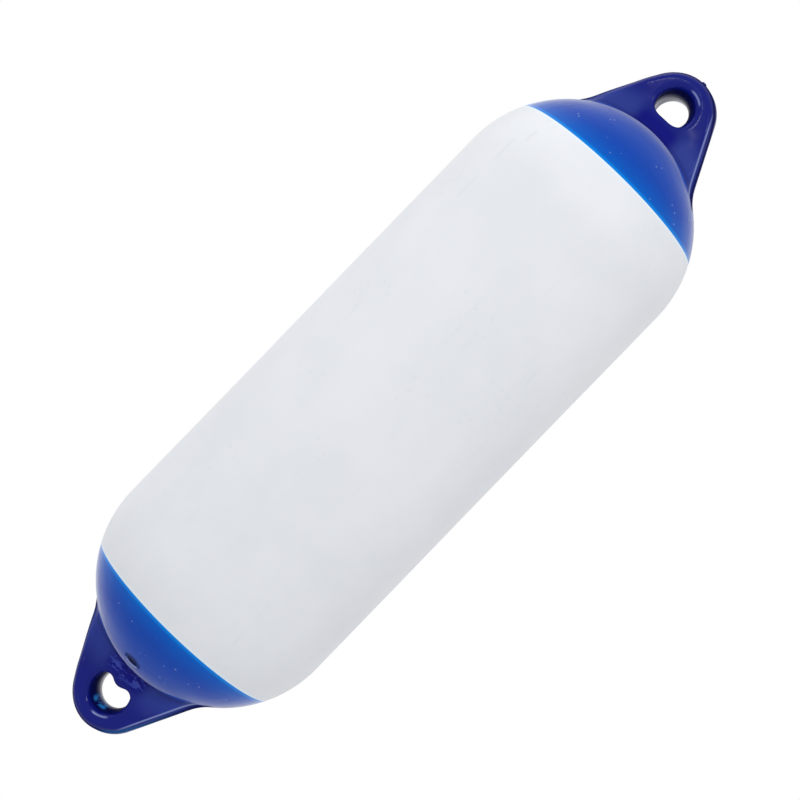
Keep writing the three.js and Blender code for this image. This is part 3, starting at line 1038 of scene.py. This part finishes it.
def add_lamp(name, watts, size, place):
    """A soft square lamp that shines at the middle of the fender."""
    lamp = bpy.data.lights.new(name, "AREA")
    lamp.shape = "SQUARE"
    lamp.size = size
    lamp.energy = watts
    item = new_object(name, lamp)
    item.visible_camera = False
    aim(item, place, Vector((0, 0, 0)), Vector((0, 0, 1)))


SENSOR_WIDTH = 36

# Each lamp's name, its size, and how far it stands towards the camera, to the right and up
LAMPS = (
    ("key", 0.24, (1.3, -0.62, 0.55)),
    ("side", 1.6, (-0.2, -1.6, 0.9)),
    ("fill", 0.22, (1.3, 0.5, 1.0)),
    ("rim", 0.4, (0.2, 1.1, -0.7)),
    ("low", 0.08, (1.2, -0.62, -0.95)),
)


class FENDER_OT_stage(bpy.types.Operator):
    """Set up the floor, the studio light and the camera"""

    bl_idname = "fender.stage"
    bl_label = "Stage"

    def execute(self, context):
        scene = context.scene
        stage = scene.fender_stage
        scene.view_settings.view_transform = "Standard"
        self.light_world(scene)
        self.add_floor(scene)
        right_level = Vector((math.cos(stage.azimuth), math.sin(stage.azimuth), 0))
        back = Vector((math.sin(stage.azimuth), -math.cos(stage.azimuth), 0))
        axis = Vector((0, 0, 1))
        right = axis * math.sin(stage.roll) + right_level * math.cos(stage.roll)
        up = axis * math.cos(stage.roll) - right_level * math.sin(stage.roll)
        camera = new_object("camera", bpy.data.cameras.new("camera"))
        camera.data.lens = stage.lens
        camera.data.sensor_width = SENSOR_WIDTH
        eye = back * stage.camera_distance + right * stage.move_right + up * stage.move_up
        aim(camera, eye, eye - back, up)
        scene.camera = camera
        for name, size, (nearer, to_right, higher) in LAMPS:
            place = back * nearer + right_level * to_right + axis * higher
            add_lamp(name, getattr(stage, name), size, place)
        return {"FINISHED"}

    def light_world(self, scene):
        """White behind the fender and in its reflections, and a softer light from all round."""
        world = bpy.data.worlds.new("studio")
        scene.world = world
        finish = Finish(world)
        path = finish.node("ShaderNodeLightPath").socket.node
        rays = ("Is Camera Ray", "Is Glossy Ray", "Is Transmission Ray")
        camera, glossy, through = [Value(finish, path.outputs[name]) for name in rays]
        white, soft = [
            finish.node("ShaderNodeBackground", sockets={"Color": (1, 1, 1, 1), "Strength": strength})
            for strength in (1.0, scene.fender_stage.ambient)
        ]
        shown = camera.highest(glossy).highest(through)
        finish.done(finish.mix(shown, soft, white), "ShaderNodeOutputWorld")

    def add_floor(self, scene):
        """A pale round floor that fades out before it reaches the picture's edge."""
        work = bmesh.new()
        bmesh.ops.create_circle(work, cap_ends=True, segments=96, radius=1.2)
        bmesh.ops.translate(work, vec=(0, 0, -scene.fender_stage.floor_drop), verts=work.verts[:])
        mesh = bpy.data.meshes.new("floor")
        work.to_mesh(mesh)
        work.free()
        finish = Finish(bpy.data.materials.new("floor"))
        place = finish.place()
        fade_start, fade_end = 0.28, 0.58
        spread = hypotenuse(*finish.split(place)[:2])
        under = finish.node("ShaderNodeNewGeometry", output="Backfacing")
        gone = spread.between(fade_start, fade_end).highest(under)
        normal = finish.bump(finish.noise(place, 300.0), 0.0001)
        sockets = {"Base Color": (*scene.fender_finishes.floor, 1.0), "Roughness": 0.7, "Normal": normal}
        paint = finish.node("ShaderNodeBsdfPrincipled", sockets=sockets)
        clear = finish.node("ShaderNodeBsdfTransparent")
        mesh.materials.append(finish.done(finish.mix(gone, paint, clear)))
        floor = new_object("floor", mesh)


# Panel and registration


STEPS = (FENDER_OT_body_skin, FENDER_OT_eye_caps, FENDER_OT_valve, FENDER_OT_stage)


class FENDER_PT_sidebar(bpy.types.Panel):
    """The fender's steps and sizes"""

    bl_idname = "FENDER_PT_sidebar"
    bl_label = "Boat Fender"
    bl_space_type = "VIEW_3D"
    bl_region_type = "UI"
    bl_category = "Fender"

    def draw(self, context):
        for step in STEPS:
            self.layout.operator(step.bl_idname)
        for name in GROUPS:
            group = getattr(context.scene, name)
            box = self.layout.box()
            for field in group.__annotations__:
                box.prop(group, field)


GROUPS = {
    "fender_body": BodySizes,
    "fender_eye": EyeSizes,
    "fender_valve": ValveSizes,
    "fender_finishes": Finishes,
    "fender_stage": StageSizes,
}


def register():
    for name, group in GROUPS.items():
        bpy.utils.register_class(group)
        setattr(bpy.types.Scene, name, PointerProperty(type=group))
    for step in (*STEPS, FENDER_PT_sidebar):
        bpy.utils.register_class(step)


def unregister():
    for step in (FENDER_PT_sidebar, *STEPS):
        bpy.utils.unregister_class(step)
    for name, group in GROUPS.items():
        delattr(bpy.types.Scene, name)
        bpy.utils.unregister_class(group)


def main():
    register()
    bpy.ops.fender.body_skin()
    bpy.ops.fender.eye_caps()
    bpy.ops.fender.valve()
    bpy.ops.fender.stage()


if __name__ == "__main__":
    main()
